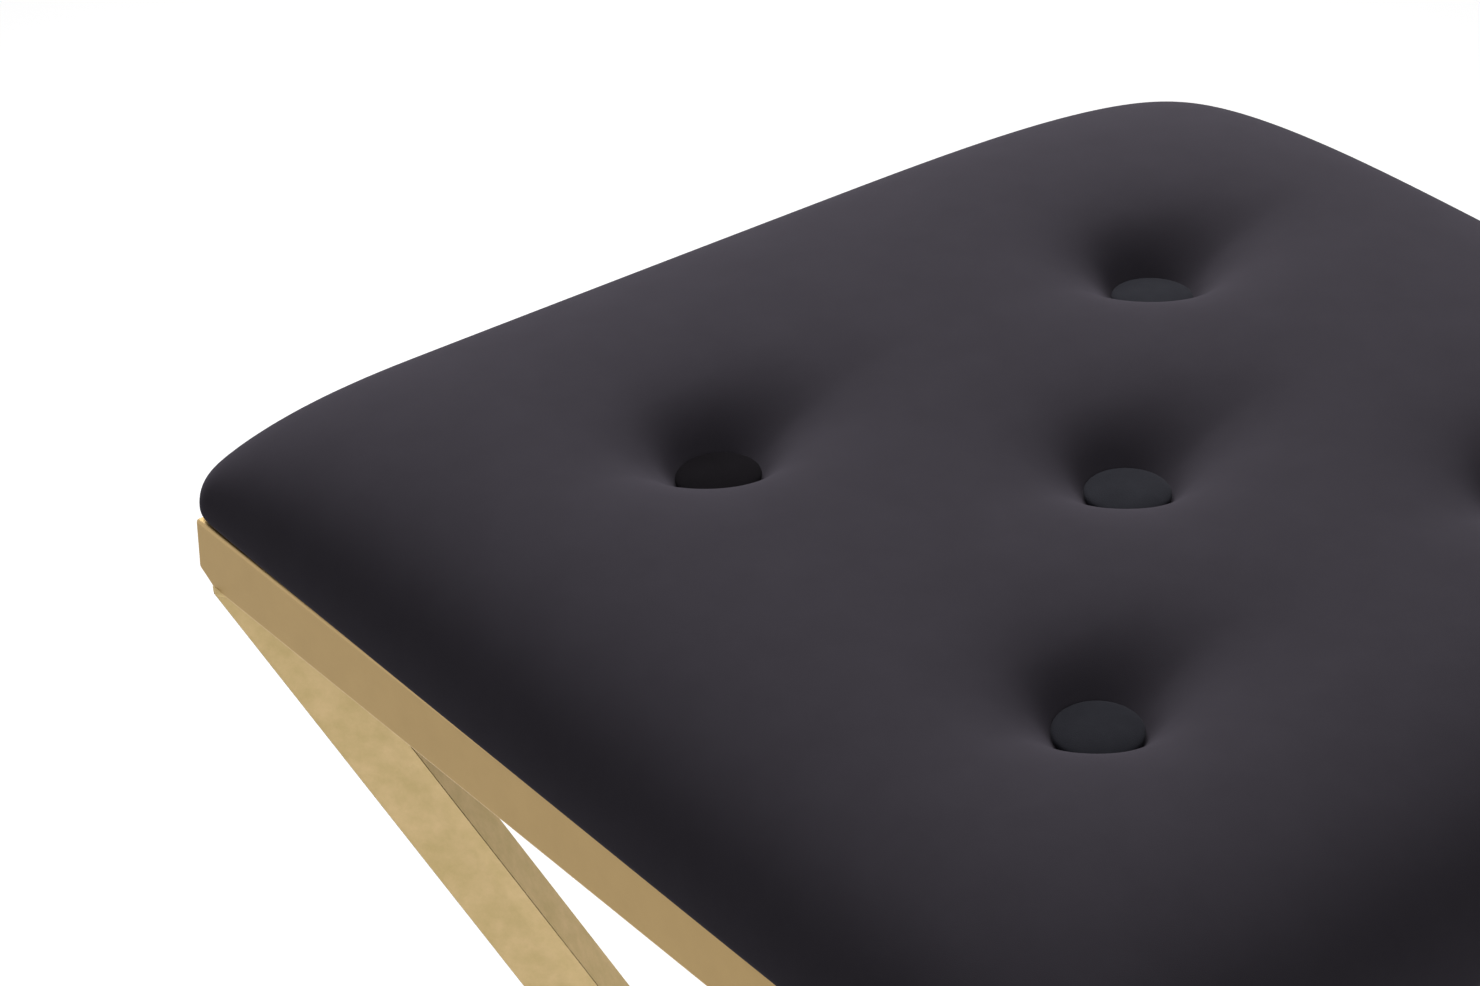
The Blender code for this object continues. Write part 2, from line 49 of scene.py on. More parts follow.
rail_low, rail_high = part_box("rail_front")
FRAME_HALF = -rail_low.y
FRAME_TOP = rail_high.z
FRAME_UNDERSIDE = rail_low.z
RAIL_INNER = -rail_high.y
TUBE_ROUND = 0.0011
ROUND_STEPS = 4
FRAME_SIDES = 4
SHARP_ANGLE = math.radians(10)
GROUND_UP = 0.0040
GROUND_ALONG = 0.0080
SAW_TOLERANCE = 1e-6
DARK_STOP, LIGHT_STOP = 0.3, 0.7
GRAIN_DEPTH = 0.0002


def add_node(tree, kind, **values):
    """Add a shader node and set its inputs by name, with _ for a space."""
    node = tree.nodes.new("ShaderNode" + kind)
    for name, value in values.items():
        node.inputs[name.replace("_", " ")].default_value = value
    return node


def colour_ramp(tree, factor, *stops):
    """Turn a value into colours, given as (position, (red, green, blue))."""
    ramp = add_node(tree, "ValToRGB")
    elements = ramp.color_ramp.elements
    while len(elements) < len(stops):
        elements.new(1.0)
    for element, (position, colour) in zip(elements, stops):
        element.position = position
        element.color = (*colour, 1.0)
    tree.links.new(factor, ramp.inputs["Fac"])
    return ramp.outputs["Color"]


def blend_colours(tree, factor, colour, other):
    """Go from a colour of the nodes to a fixed one as a value goes from 0 to 1."""
    blend = add_node(tree, "Mix")
    blend.data_type = "RGBA"
    first, second = [socket for socket in blend.inputs if socket.type == "RGBA"]
    second.default_value = (*other, 1.0)
    tree.links.new(colour, first)
    tree.links.new(factor, blend.inputs["Factor"])
    return next(socket for socket in blend.outputs if socket.type == "RGBA")


def value_range(tree, value, low, high):
    """Stretch a value that runs from 0 to 1 between two others."""
    stretch = add_node(tree, "MapRange", To_Min=low, To_Max=high)
    tree.links.new(value, stretch.inputs["Value"])
    return stretch.outputs["Result"]


def grain_group():
    """Cloudy variation and fine grain on Object coordinates, for metal, plastic and cloth alike."""
    group = bpy.data.node_groups.new("surface_grain", "ShaderNodeTree")
    for socket, value in (("Cloud Scale", 100.0), ("Grain Scale", 1500.0)):
        made = group.interface.new_socket(socket, in_out="INPUT", socket_type="NodeSocketFloat")
        made.default_value = value
    for socket in ("Clouds", "Grain"):
        group.interface.new_socket(socket, in_out="OUTPUT", socket_type="NodeSocketFloat")
    inside = group.nodes.new("NodeGroupInput")
    outside = group.nodes.new("NodeGroupOutput")
    place = add_node(group, "TexCoord")
    clouds = add_node(group, "TexNoise", Detail=5.0, Roughness=0.65)
    grain = add_node(group, "TexNoise", Detail=2.0, Roughness=0.6)
    for texture, scale, result in ((clouds, "Cloud Scale", "Clouds"), (grain, "Grain Scale", "Grain")):
        group.links.new(place.outputs["Object"], texture.inputs["Vector"])
        group.links.new(inside.outputs[scale], texture.inputs["Scale"])
        group.links.new(texture.outputs["Fac"], outside.inputs[result])
    return group


surface_grain = grain_group()


def grained_material(
        name, dark, light, roughness, cloud_scale, grain_scale, bump, edge_highlight=None, **shader_values):
    """A finish whose colour drifts between two tones, with fine grain in its gloss and relief.

    The edge colour is a painted highlight: a brighter tone put on rounded edges, where a piece has them
    marked."""
    material = bpy.data.materials.new(name)
    material.use_nodes = True
    tree = material.node_tree
    shader = tree.nodes["Principled BSDF"]
    for socket, value in shader_values.items():
        shader.inputs[socket.replace("_", " ")].default_value = value
    grain = add_node(tree, "Group")
    grain.node_tree = surface_grain
    grain.inputs["Cloud Scale"].default_value = cloud_scale
    grain.inputs["Grain Scale"].default_value = grain_scale
    tone = colour_ramp(tree, grain.outputs["Clouds"], (DARK_STOP, dark), (LIGHT_STOP, light))
    # Marked rounded edges take the brighter edge colour, a painted highlight.
    if edge_highlight:
        edges = add_node(tree, "Attribute")
        edges.attribute_name = "painted_edge_highlight"
        tone = blend_colours(tree, edges.outputs["Fac"], tone, edge_highlight)
    tree.links.new(tone, shader.inputs["Base Color"])
    gloss = value_range(tree, grain.outputs["Grain"], *roughness)
    tree.links.new(gloss, shader.inputs["Roughness"])
    relief = add_node(tree, "Bump", Strength=bump, Distance=GRAIN_DEPTH)
    tree.links.new(grain.outputs["Grain"], relief.inputs["Height"])
    tree.links.new(relief.outputs["Normal"], shader.inputs["Normal"])
    return material


def add_piece(name, bm, material):
    """Finish a bmesh as a smooth piece that rides on the stool's one body."""
    mesh = bpy.data.meshes.new(name)
    bm.to_mesh(mesh)
    bm.free()
    mesh.shade_smooth()
    mesh.materials.append(material)
    piece = bpy.data.objects.new(name, mesh)
    bpy.context.scene.collection.objects.link(piece)
    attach(piece, "root")
    return piece


def even_faces(piece):
    """Keep flat faces flat beside their rounded edges."""
    piece.modifiers.new("even_faces", "WEIGHTED_NORMAL")


def dress(material, *nodes):
    """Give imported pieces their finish."""
    for node in nodes:
        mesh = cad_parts[node].data
        mesh.materials.clear()
        mesh.materials.append(material)


def saw_off(bm, point, outward):
    """Cut a shape with a plane, drop what lies outward of it and close the cut."""
    cut = bmesh.ops.bisect_plane(
        bm, geom=bm.verts[:] + bm.edges[:] + bm.faces[:], dist=SAW_TOLERANCE, plane_co=point,
        plane_no=outward, clear_outer=True)
    rim = [item for item in cut["geom_cut"] if isinstance(item, bmesh.types.BMEdge)]
    bmesh.ops.holes_fill(bm, edges=rim)


def round_edges(bm, edges, radius):
    """Round a tube's edges and mark them for a painted highlight."""
    rounded = bmesh.ops.bevel(
        bm, geom=edges, offset=radius, affect="EDGES", segments=ROUND_STEPS, profile=0.5,
        material=-1)["faces"]
    mark = bm.verts.layers.float.new("painted_edge_highlight")
    strips = set(rounded)
    for vert in {vert for face in rounded for vert in face.verts}:
        vert[mark] = 1.0 if strips.issuperset(vert.link_faces) else 0.0


# The rail's gold is the legs' plating painted darker, as painted shade on the rail's faces. Its brighter
# edge colour is a painted highlight.
SHADED_RAIL_GOLD = grained_material(
    "satin_gold_rail_painted_shade", dark=(0.393, 0.268, 0.109), light=(0.422, 0.290, 0.120), roughness=(0.45, 0.52),
    cloud_scale=60.0, grain_scale=2400.0, bump=0.05, edge_highlight=(0.60, 0.43, 0.21), Metallic=1.0)

bm = bmesh.new()
mitre = [
    bm.verts.new((-half, -half, z)) for half, z in (
        (FRAME_HALF, FRAME_UNDERSIDE), (FRAME_HALF, FRAME_TOP),
        (RAIL_INNER, FRAME_TOP), (RAIL_INNER, FRAME_UNDERSIDE))]
mitre_edges = [bm.edges.new((start, end)) for start, end in zip(mitre, mitre[1:] + mitre[:1])]
bmesh.ops.spin(
    bm, geom=mitre + mitre_edges, cent=(0.0, 0.0, 0.0), axis=(0.0, 0.0, 1.0), angle=math.tau,
    steps=FRAME_SIDES, use_merge=True)
bmesh.ops.recalc_face_normals(bm, faces=bm.faces)
for way_x, way_y in ((-1, -1), (1, -1), (1, 1), (-1, 1)):
    weld_corner = Vector((way_x * FRAME_HALF, way_y * FRAME_HALF, FRAME_UNDERSIDE + GROUND_UP))
    saw_off(bm, weld_corner, Vector((way_x, way_y, -GROUND_ALONG / GROUND_UP)))
sharp = [edge for edge in bm.edges if edge.calc_face_angle() > SHARP_ANGLE]
round_edges(bm, sharp, TUBE_ROUND)
seat_frame = add_piece("seat_frame_tube", bm, SHADED_RAIL_GOLD)
even_faces(seat_frame)
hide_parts("rail_front", "rail_back", "rail_left", "rail_right")


# Corner plates: flat steel triangles welded inside the frame's corners, level with its underside
# and plated with it. Each takes one screw up into the seat.

CORNERS = {"front_left": 0, "front_right": 90, "back_right": 180, "back_left": 270}
for corner in CORNERS:
    dress(SHADED_RAIL_GOLD, "corner_plate_" + corner)


# Legs: eight half-legs of the same rectangular tube in the stool's diagonal planes. They lean in
# to a waist, where all eight are mitred and welded, and out again to the floor.

LEG_DEPTH = 0.020
LEG_THICKNESS = 0.015
LEG_LEAN = math.radians(32.8)
LEG_INSET = 0.0125
LEG_ROUND = 0.00022
SAW_SPARE = 4 * LEG_DEPTH
GLIDE_HEIGHT = 0.006
TOWARDS_FRONT_LEFT = math.radians(225)
LEG_TOP_REACH = (FRAME_HALF - LEG_INSET) * math.sqrt(2)
WAIST = FRAME_UNDERSIDE - LEG_TOP_REACH / math.tan(LEG_LEAN)

# The legs' brighter edge colour is a painted highlight on their rounded edges.
LEG_GOLD = grained_material(
    "satin_gold_leg", dark=(0.585, 0.452, 0.218), light=(0.705, 0.536, 0.291), roughness=(0.50, 0.60),
    cloud_scale=130.0, grain_scale=1800.0, bump=0.08, edge_highlight=(0.90, 0.72, 0.42), Metallic=1.0)


def rounded_bar(length, depth, thickness):
    """A bar along Z with its four long edges rounded."""
    bm = bmesh.new()
    bmesh.ops.create_cube(bm, size=1.0)
    bmesh.ops.scale(bm, vec=(depth, thickness, length), verts=bm.verts)
    long_edges = [edge for edge in bm.edges if edge.verts[0].co.xy == edge.verts[1].co.xy]
    round_edges(bm, long_edges, LEG_ROUND)
    return bm


def half_leg(low, high, way):
    """Half a leg towards the front left, leaning out upwards (way 1) or downwards (way -1)."""
    middle = (low + high) / 2
    bm = rounded_bar((high - low) / math.cos(LEG_LEAN) + SAW_SPARE, LEG_DEPTH, LEG_THICKNESS)
    bmesh.ops.rotate(bm, matrix=Matrix.Rotation(way * LEG_LEAN, 3, "Y"), verts=bm.verts)
    reach = way * (middle - WAIST) * math.tan(LEG_LEAN)
    bmesh.ops.translate(bm, vec=(reach, 0.0, middle), verts=bm.verts)
    for side in (-1.0, 1.0):
        saw_off(bm, Vector(), Vector((-1.0, side, 0.0)).normalized())
    saw_off(bm, Vector((0.0, 0.0, low)), Vector((0.0, 0.0, -1.0)))
    saw_off(bm, Vector((0.0, 0.0, high)), Vector((0.0, 0.0, 1.0)))
    bmesh.ops.rotate(bm, matrix=Matrix.Rotation(TOWARDS_FRONT_LEFT, 3, "Z"), verts=bm.verts)
    return bm


def turned_to(bm, turn):
    """Turn a shape about the stool's axis, in degrees."""
    bmesh.ops.rotate(bm, matrix=Matrix.Rotation(math.radians(turn), 3, "Z"), verts=bm.verts)
    return bm


for corner, turn in CORNERS.items():
    for half, low, high, way in (("upper", WAIST, FRAME_UNDERSIDE, 1), ("lower", GLIDE_HEIGHT, WAIST, -1)):
        leg = add_piece(
            f"{half}_leg_tube_{corner}", turned_to(half_leg(low, high, way), turn), LEG_GOLD)
        even_faces(leg)
        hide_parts(f"leg_{half}_{corner}")


# Weld beads: a thin run of weld round the top of each leg, where it meets the frame's underside,
# and round the ends of the footrest bars, plated over with the rest.

BEAD_RADIUS = 0.0013
BEAD_SIDES = 8
BEAD_STEPS = 64
BEAD_SQUARENESS = 5.0
BEAD_RIPPLE = 0.0003
RIPPLE_SCALE = 400.0
RIPPLE_SEED = 2

noise.seed_set(RIPPLE_SEED)


def weld_bead(half_long, half_wide):
    """A slightly uneven ring of weld round a rectangular joint, lying in XY."""
    bm = bmesh.new()
    ring = bmesh.ops.create_circle(bm, segments=BEAD_SIDES, radius=BEAD_RADIUS)["verts"]
    bmesh.ops.rotate(bm, matrix=Matrix.Rotation(math.radians(90), 3, "X"), verts=ring)
    bmesh.ops.translate(bm, vec=(half_long, 0.0, 0.0), verts=ring)
    bmesh.ops.spin(
        bm, geom=bm.verts[:] + bm.edges[:], cent=(0.0, 0.0, 0.0), axis=(0.0, 0.0, 1.0), angle=math.tau,
        steps=BEAD_STEPS, use_merge=True)
    bmesh.ops.recalc_face_normals(bm, faces=bm.faces)
    for vert in bm.verts:
        angle = math.atan2(vert.co.y, vert.co.x)
        out = math.hypot(vert.co.x, vert.co.y) - half_long
        cosine, sine = math.cos(angle), math.sin(angle)
        share = (abs(cosine) ** BEAD_SQUARENESS + abs(sine) ** BEAD_SQUARENESS) ** (-1 / BEAD_SQUARENESS)
        vert.co.x = half_long * share * cosine + out * cosine
        vert.co.y = half_wide * share * sine + out * sine
    for vert in bm.verts:
        vert.co += BEAD_RIPPLE * noise.noise_vector(vert.co * RIPPLE_SCALE)
    return bm


for corner, turn in CORNERS.items():
    bm = weld_bead(LEG_DEPTH / math.cos(LEG_LEAN) / 2, LEG_THICKNESS / 2)
    bmesh.ops.translate(bm, vec=(LEG_TOP_REACH, 0.0, FRAME_UNDERSIDE), verts=bm.verts)
    turned_to(bm, math.degrees(TOWARDS_FRONT_LEFT) + turn)
    add_piece("leg_weld_" + corner, bm, LEG_GOLD)


# Footrest: four square tubes low down between the legs, cut on the diagonal and welded to the
# legs' sides, so that feet can rest on any side.

FOOTREST_HEIGHT = 0.150
FOOTREST_SIZE = 0.012
SIDES = {"front": 0, "right": 90, "back": 180, "left": 270}
FOOTREST_REACH = (WAIST - FOOTREST_HEIGHT) * math.tan(LEG_LEAN) / math.sqrt(2)

for side, turn in SIDES.items():
    bm = rounded_bar(2 * FRAME_HALF, FOOTREST_SIZE, FOOTREST_SIZE)
    bmesh.ops.rotate(bm, matrix=Matrix.Rotation(math.radians(90), 3, "Y"), verts=bm.verts)
    bmesh.ops.translate(bm, vec=(0.0, -FOOTREST_REACH, FOOTREST_HEIGHT), verts=bm.verts)
    for end in (-1.0, 1.0):
        outward = Vector((end, 1.0, 0.0)).normalized()
        saw_off(bm, -outward * LEG_THICKNESS / 2, outward)
    bar = add_piece("footrest_tube_" + side, turned_to(bm, turn), LEG_GOLD)
    even_faces(bar)
    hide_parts("footrest_" + side)
    for end, name in ((-1.0, "start"), (1.0, "end")):
        bm = weld_bead(FOOTREST_SIZE / math.sqrt(2), FOOTREST_SIZE / 2)
        bmesh.ops.rotate(bm, matrix=Matrix.Rotation(math.radians(90), 3, "X"), verts=bm.verts)
        bmesh.ops.rotate(bm, matrix=Matrix.Rotation(math.radians(-45 * end), 3, "Z"), verts=bm.verts)
        joint_x = end * (FOOTREST_REACH - LEG_THICKNESS / math.sqrt(2))
        bmesh.ops.translate(bm, vec=(joint_x, -FOOTREST_REACH, FOOTREST_HEIGHT), verts=bm.verts)
        add_piece(f"footrest_weld_{side}_{name}", turned_to(bm, turn), LEG_GOLD)


# Foot glides: black moulded plastic caps pushed into the open lower ends of the legs, flat on the
# floor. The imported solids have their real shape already, so they only take the finish.

GLIDE_PLASTIC = grained_material(
    "moulded_black_plastic", dark=(0.012, 0.012, 0.012), light=(0.020, 0.020, 0.021),
    roughness=(0.42, 0.58), cloud_scale=300.0, grain_scale=3500.0, bump=0.25)
for corner in CORNERS:
    dress(GLIDE_PLASTIC, "foot_glide_" + corner)


# Seat board: birch plywood with the tee nuts driven into its top face and washers under the tufts'
# twines. Velvet, frame and dust cover hide all of it.

PLYWOOD = grained_material(
    "birch_plywood", dark=(0.46, 0.30, 0.15), light=(0.62, 0.44, 0.25), roughness=(0.55, 0.70),
    cloud_scale=45.0, grain_scale=900.0, bump=0.3)
ZINC = grained_material(
    "zinc_plate", dark=(0.52, 0.53, 0.55), light=(0.63, 0.63, 0.65), roughness=(0.26, 0.40),
    cloud_scale=400.0, grain_scale=2600.0, bump=0.1, Metallic=1.0)
WAXED_TWINE = grained_material(
    "waxed_twine", dark=(0.50, 0.44, 0.33), light=(0.66, 0.60, 0.48), roughness=(0.65, 0.80),
    cloud_scale=600.0, grain_scale=5000.0, bump=0.4)
TUFTS = ("front_left", "front_right", "back_left", "back_right", "centre")
dress(PLYWOOD, "seat_board")
for corner in CORNERS:
    dress(ZINC, "tee_nut_" + corner)
for tuft in TUFTS:
    dress(GLIDE_PLASTIC, "twine_washer_" + tuft)
    dress(WAXED_TWINE, "tuft_twine_" + tuft)


# Tufted pad: charcoal velvet drawn over foam and round the board, held down by five covered
# buttons on twines. It swells over the frame, and is stapled underneath.

PAD_OVERHANG = 0.0050
PAD_HALF = FRAME_HALF + PAD_OVERHANG
OVERHANG_LEFT, OVERHANG_RIGHT = 0.0045, 0.0080
OVERHANG_FRONT, OVERHANG_BACK = 0.0030, 0.0050
FRONT_SKEW = 0.0016
OVERHANG_CURVE = 4
PAD_PLAN_ROUND = 0.010
PAD_BOW = 0.0012
BOW_CURVE = 3
PAD_SIDE = 0.0036
PAD_CROWN = 0.0510
BACK_DROOP = 0.85
PAD_LEAN_X = 0.0010
PAD_LEAN_Y = 0.0035
SOFT_SHOULDER, SOFT_ROUNDNESS = 0.160, 3.1
FIRM_SHOULDER, FIRM_ROUNDNESS = 0.078, 2.55
PAD_FOOT_INSET = 0.0008
PAD_FOOT_GAP = 0.0003
BUTTON_PITCH = 0.079
BUTTON_RADIUS = 0.0120
TUFT_SHIFT_X = 0.0058
TUFT_SHIFT_Y = -0.0050
TUFT_LEVEL = 0.0292
TUFT_CENTRE_LEVEL = 0.0310
DEEP_TUFT = 0.0014
TUFT_LEAN = 0.050
TUFT_SPREAD = 0.0335
TUFT_SHARPNESS = 3.25
CREASE_BACK = 2.4
CREASE_FRONT = 0.6
CREASE_WIDTH = 0.60
CREASE_SOFTNESS = 1.4
CREASE_REACH = 0.040
FINE_STEP = 0.0024
COARSE_STEP = 0.0048
TUFT_ZONE = 0.022
EDGE_CATCH = 0.55
EDGE_START = 0.165
EDGE_STEPS = 12
EDGE_CROWDING = 2.2
TURN_UNDER_ANGLES = (22, 45, 68, 90)
FOLD_INNER = 0.163
CLOTH = 0.0015
BOARD_ROOM = 0.1822
ROOM_CORNER = 0.022
BOARD_LID_RISE = 0.0144
BOARD_LID = FRAME_TOP + BOARD_LID_RISE
FOAM_GRIP = 0.05
FOAM_PRESSURE = 4.0
SETTLE_STEPS = 20
SETTLE_LIMIT = 0.002

TUFT_PLACES = {
    f"{row}_{side}": Vector((x + TUFT_SHIFT_X, y + TUFT_SHIFT_Y, TUFT_LEVEL))
    for row, y in (("front", -BUTTON_PITCH), ("back", BUTTON_PITCH))
    for side, x in (("left", -BUTTON_PITCH), ("right", BUTTON_PITCH))}
TUFT_PLACES["front_left"].z -= DEEP_TUFT
TUFT_PLACES["centre"] = Vector((TUFT_SHIFT_X, TUFT_SHIFT_Y, TUFT_CENTRE_LEVEL))


def pad_lines():
    """Grid lines across the pad: close together round the tufts and where the side turns down."""
    lines = [FINE_STEP / 2]
    while lines[-1] < EDGE_START:
        near_tuft = min(lines[-1], abs(lines[-1] - BUTTON_PITCH)) < TUFT_ZONE
        lines.append(lines[-1] + (FINE_STEP if near_tuft else COARSE_STEP))
    start = lines[-1]
    for step in range(1, EDGE_STEPS + 1):
        left = 1.0 - step / EDGE_STEPS
        lines.append(PAD_HALF - (PAD_HALF - start) * left ** EDGE_CROWDING)
    return [-line for line in reversed(lines)] + lines


def shoulder(offset, width, roundness):
    """Fall of the top towards the side: 1 on the flat, 0 at the edge."""
    share = max(0.0, (abs(offset) - PAD_HALF) / width + 1.0)
    return max(0.0, 1.0 - share ** roundness) ** (1.0 / roundness)


def button_seat(tuft, x, y):
    """Height of the plane that a button sits in: the outer four lean outwards."""
    outward = ((x - tuft.x) * tuft.x + (y - tuft.y) * tuft.y) / BUTTON_PITCH
    return tuft.z - TUFT_LEAN * outward


def crease(x, y):
    """How much wider a tuft's dip is: the velvet creases before and behind the button."""
    bearing = math.atan2(abs(x), abs(y))
    depth = CREASE_BACK if y > 0 else CREASE_FRONT
    fade = math.exp(-((bearing / CREASE_WIDTH) ** CREASE_SOFTNESS) - math.hypot(x, y) / CREASE_REACH)
    return depth * math.cos(bearing) * fade


def pad_height(x, y):
    """Height of the velvet above the frame, drawn down at the tufts."""
    soft, firm = (SOFT_SHOULDER, SOFT_ROUNDNESS), (FIRM_SHOULDER, FIRM_ROUNDNESS)
    fall_x = shoulder(x, *(firm if x > 0 else soft))
    fall_y = shoulder(y, *(soft if y > 0 else firm))
    fall = fall_x * fall_y
    if y > 0:
        fall *= 1.0 - BACK_DROOP * (1.0 - fall_x) * (1.0 - fall_y)
    rise = PAD_CROWN - PAD_SIDE + (PAD_LEAN_X * x + PAD_LEAN_Y * y) / PAD_HALF
    height = PAD_SIDE + rise * fall
    for tuft in TUFT_PLACES.values():
        away = max(0.0, math.hypot(x - tuft.x, y - tuft.y) - BUTTON_RADIUS)
        spread = TUFT_SPREAD * (1.0 + crease(x - tuft.x, y - tuft.y))
        height += (button_seat(tuft, x, y) - height) * (1.0 + away / spread) ** -TUFT_SHARPNESS
    return height


def to_button_edge(x, y):
    """Slide a point of the grid that lies close to a button's edge on to it."""
    for tuft in TUFT_PLACES.values():
        away = math.hypot(x - tuft.x, y - tuft.y)
        if abs(away - BUTTON_RADIUS) < FINE_STEP * EDGE_CATCH:
            pull = BUTTON_RADIUS / away
            return tuft.x + (x - tuft.x) * pull, tuft.y + (y - tuft.y) * pull
    return x, y


def stretch(offset, low_overhang, high_overhang):
    """Draw a side of the pad out to its own overhang."""
    more = (high_overhang if offset > 0 else low_overhang) - PAD_OVERHANG
    return offset * (1.0 + more / PAD_HALF * (offset / PAD_HALF) ** OVERHANG_CURVE)


def pad_plan(x, y):
    """Draw the sides out over the frame, bow them in towards the corners and round the corners."""
    bow = PAD_BOW * abs(x * y / PAD_HALF ** 2) ** BOW_CURVE
    x, y = x - math.copysign(bow, x), y - math.copysign(bow, y)
    start = PAD_HALF - PAD_BOW - PAD_PLAN_ROUND
    past_x, past_y = abs(x) - start, abs(y) - start
    if past_x > 0 and past_y > 0:
        round_x = past_x * math.sqrt(1.0 - min(1.0, past_y / PAD_PLAN_ROUND) ** 2 / 2)
        round_y = past_y * math.sqrt(1.0 - min(1.0, past_x / PAD_PLAN_ROUND) ** 2 / 2)
        x, y = math.copysign(start + round_x, x), math.copysign(start + round_y, y)
    front = OVERHANG_FRONT + FRONT_SKEW * x / PAD_HALF
    return stretch(x, OVERHANG_LEFT, OVERHANG_RIGHT), stretch(y, front, OVERHANG_BACK)


def pad_shape():
    """The velvet cover, open inside: top, rounded side, fold under the board, and room for the board."""
    lines = pad_lines()
    count = len(lines) - 1
    bm = bmesh.new()
    bmesh.ops.create_grid(bm, x_segments=count, y_segments=count, size=1.0)
    for vert in bm.verts:
        x = lines[round((vert.co.x + 1.0) / 2 * count)]
        y = lines[round((vert.co.y + 1.0) / 2 * count)]
        x, y = to_button_edge(x, y)
        vert.co = (*pad_plan(x, y), FRAME_TOP + pad_height(x, y))
    rim = {vert: vert.co.copy() for vert in bm.verts if vert.is_boundary}

    def next_ring(place):
        """Carry the open edge on to a new ring, placed from each point of the widest line."""
        edges = [edge for edge in bm.edges if edge.is_boundary]
        new = bmesh.ops.extrude_edge_only(bm, edges=edges)["geom"]
        moved = {}
        for vert in new:
            if isinstance(vert, bmesh.types.BMVert):
                around = [edge.other_vert(vert) for edge in vert.link_edges]
                moved[vert] = next(rim[source] for source in around if source in rim)
                vert.co = place(moved[vert])
        rim.clear()
        rim.update(moved)

    def board_ring(half, z):
        """Place a ring on a level square with rounded corners, as the board has."""
        def place(widest):
            straight = half - ROOM_CORNER
            shrink = half / max(abs(widest.x), abs(widest.y))
            past = Vector((abs(widest.x) * shrink - straight, abs(widest.y) * shrink - straight))
            if min(past) > 0:
                past *= ROOM_CORNER / past.length
            return Vector((
                math.copysign(straight + past.x, widest.x), math.copysign(straight + past.y, widest.y), z))
        return place

    def turn_under(angle):
        """Place a ring on the turn from the widest line in to the top of the frame."""
        def place(widest):
            inset = FRAME_HALF - PAD_FOOT_INSET
            reach_x = FRAME_HALF + (OVERHANG_RIGHT if widest.x > 0 else OVERHANG_LEFT)
            reach_y = FRAME_HALF + (OVERHANG_BACK if widest.y > 0 else OVERHANG_FRONT)
            foot = Vector((widest.x * inset / reach_x, widest.y * inset / reach_y, 0.0))
            drop = PAD_SIDE - PAD_FOOT_GAP
            point = foot + (widest - foot) * math.cos(angle)
            return Vector((point.x, point.y, FRAME_TOP + PAD_SIDE - drop * math.sin(angle)))
        return place

    for angle in TURN_UNDER_ANGLES:
        next_ring(turn_under(math.radians(angle)))
    fold_bottom = FRAME_TOP + PAD_FOOT_GAP
    next_ring(board_ring(FOLD_INNER, fold_bottom))
    next_ring(board_ring(FOLD_INNER, fold_bottom + CLOTH))
    next_ring(board_ring(BOARD_ROOM, fold_bottom + CLOTH))
    next_ring(board_ring(BOARD_ROOM, BOARD_LID))
    bmesh.ops.recalc_face_normals(bm, faces=bm.faces)
    return bm


def loose_cover(bm):
    """Lay out the open cover as an object of its own, for a modifier to work on."""
    mesh = bpy.data.meshes.new("loose_cover")
    bm.to_mesh(mesh)
    cover = bpy.data.objects.new("loose_cover", mesh)
    bpy.context.scene.collection.objects.link(cover)
    return cover


def put_away(cover):
    """Remove the loose cover once its shape has been taken."""
    mesh = cover.data
    bpy.data.objects.remove(cover)
    bpy.data.meshes.remove(mesh)


def settle(bm):
    """Let the velvet settle by cloth simulation, puffed by the foam and held at buttons and foot."""
    cover = loose_cover(bm)
    held = cover.vertex_groups.new(name="held")
    for vert in bm.verts:
        under_button = any(
            (vert.co - tuft).xy.length < BUTTON_RADIUS + FINE_STEP
            for tuft in TUFT_PLACES.values())
        under_side = vert.co.z < FRAME_TOP + PAD_SIDE
        held.add([vert.index], 1.0 if under_button or under_side else FOAM_GRIP, "REPLACE")
    cloth = cover.modifiers.new("velvet", "CLOTH")
    cloth.settings.vertex_group_mass = "held"
    cloth.settings.use_pressure = True
    cloth.settings.uniform_pressure_force = FOAM_PRESSURE
    cloth.settings.effector_weights.gravity = 0.0
    for step in range(1, SETTLE_STEPS + 1):
        bpy.context.scene.frame_set(step)
    settled = cover.evaluated_get(bpy.context.evaluated_depsgraph_get())
    for vert, rested in zip(bm.verts, settled.data.vertices):
        shift = rested.co - vert.co
        vert.co += shift * min(1.0, SETTLE_LIMIT / max(shift.length, SETTLE_LIMIT))
    put_away(cover)
    bpy.context.scene.frame_set(1)
    return bm


def finer_cloth(bm):
    """Round the open cover by one subdivision, then close it over the board."""
    cover = loose_cover(bm)
    finer = cover.modifiers.new("finer", "SUBSURF")
    finer.levels = finer.render_levels = 1
    shown = cover.evaluated_get(bpy.context.evaluated_depsgraph_get())
    bm.clear()
    bm.from_mesh(shown.to_mesh())
    put_away(cover)
    bmesh.ops.holes_fill(bm, edges=[edge for edge in bm.edges if edge.is_boundary])
    bmesh.ops.recalc_face_normals(bm, faces=bm.faces)
    return bm


VELVET = grained_material(
    "charcoal_velvet", dark=(0.0616, 0.0554, 0.0686), light=(0.0673, 0.0607, 0.0750),
    roughness=(0.85, 1.0), cloud_scale=60.0, grain_scale=5000.0, bump=0.25,
    Sheen_Weight=0.08, Sheen_Roughness=0.4, Sheen_Tint=(0.87, 0.79, 0.98, 1.0), Specular_IOR_Level=0.05)

cover_cut = pad_shape()
settle(cover_cut)
pad = add_piece("tufted_velvet_pad", finer_cloth(cover_cut), VELVET)
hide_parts("velvet_cover", "seat_foam")


# Buttons: domed metal shells covered in the pad's velvet, here in a darker, bluer tone, pulled down
# into the pad by their twines. The front left one's velvet is much darker again than the rest.

BUTTON_RIM = 0.0018
BUTTON_DOME = 0.0022
BUTTON_FLATNESS = 0.65
BUTTON_SIDES = 48
BUTTON_RINGS = 24

